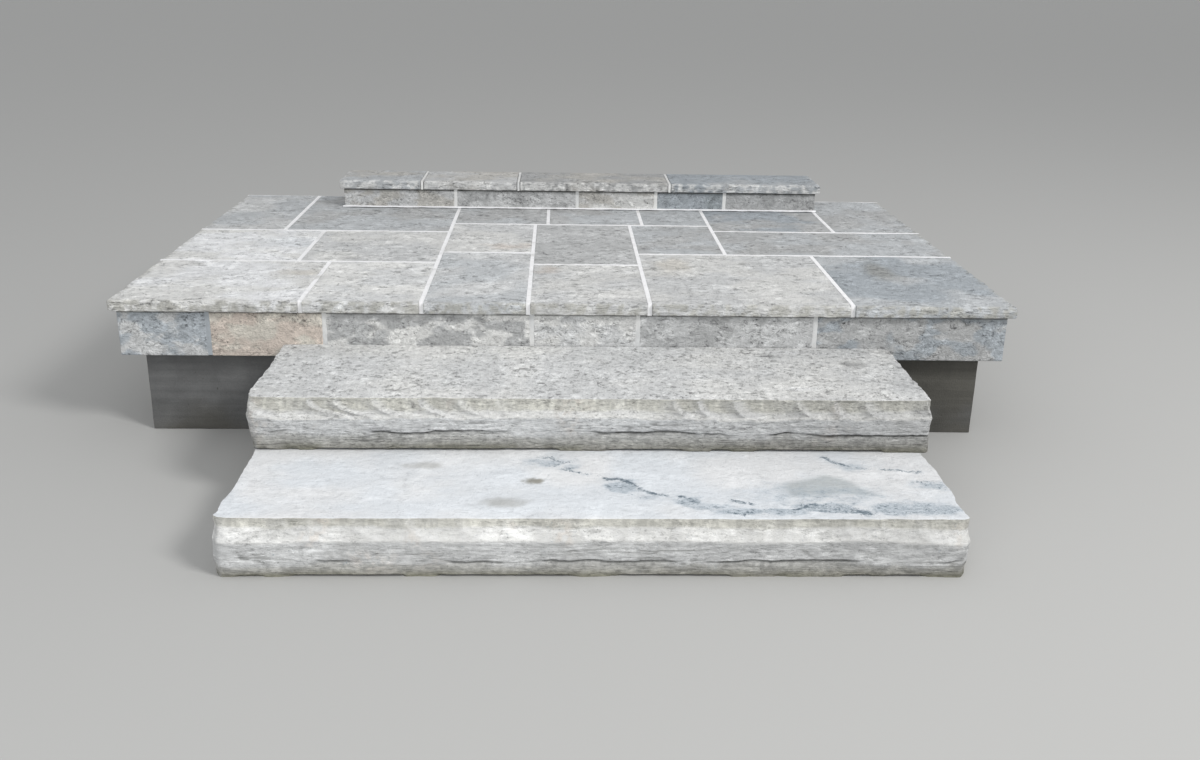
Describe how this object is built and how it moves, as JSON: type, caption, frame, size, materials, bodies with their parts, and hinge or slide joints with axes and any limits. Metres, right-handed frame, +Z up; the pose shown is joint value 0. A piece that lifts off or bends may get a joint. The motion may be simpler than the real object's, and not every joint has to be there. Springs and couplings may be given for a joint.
{
  "type": "outdoor stone steps with a flagstone landing",
  "caption": "Outdoor entrance steps: thick rock-faced stone slabs rising to a mortared flagstone landing on a concrete foundation, with a low paved door step at the back.",
  "frame": {"origin": "on the ground, in the middle of the landing's width and of the whole depth", "axes": "+X to the right as one walks up, +Y from the ground step towards the house, +Z up"},
  "size_m": [2.762, 2.6211, 0.554],
  "materials": {
    "slab_stone": "natural cleft top, rock-faced front and ends",
    "paving_stone": "natural cleft flagstone with tumbled edges",
    "facing_stone": "split face",
    "mortar": "raked and brushed mortar",
    "concrete": "formed concrete"
  },
  "bodies": {
    "root": {"back_stone_1": "paving_stone", "back_stone_2": "paving_stone", "back_stone_3": "paving_stone", "back_stone_4": "paving_stone", "back_stone_5": "paving_stone", "back_stone_6": "paving_stone", "back_stone_7": "paving_stone", "cap_stone_1": "paving_stone", "cap_stone_2": "paving_stone", "cap_stone_3": "paving_stone", "cap_stone_4": "paving_stone", "door_step_core": "mortar", "door_step_ends": "facing_stone", "door_step_riser_1": "facing_stone", "door_step_riser_2": "facing_stone", "door_step_riser_3": "facing_stone", "door_step_riser_4": "facing_stone", "door_step_riser_5": "facing_stone", "edge_stone_1": "paving_stone", "edge_stone_2": "paving_stone", "edge_stone_3": "paving_stone", "edge_stone_4": "paving_stone", "edge_stone_5": "paving_stone", "edge_stone_6": "paving_stone", "foundation_back": "concrete", "foundation_front": "concrete", "foundation_sides": "concrete", "lower_slab": "slab_stone", "middle_stone_1": "paving_stone", "middle_stone_2": "paving_stone", "middle_stone_3": "paving_stone", "middle_stone_4": "paving_stone", "middle_stone_5": "paving_stone", "middle_stone_6": "paving_stone", "mortar_bed": "mortar", "porch_slab": "concrete", "riser_mortar": "mortar", "riser_stone_1": "facing_stone", "riser_stone_2": "facing_stone", "riser_stone_3": "facing_stone", "riser_stone_4": "facing_stone", "riser_stone_5": "facing_stone", "riser_stone_6": "facing_stone", "side_risers_left": "facing_stone", "side_risers_right": "facing_stone", "step_bed": "concrete", "upper_slab": "slab_stone"}
  },
  "joints": []
}
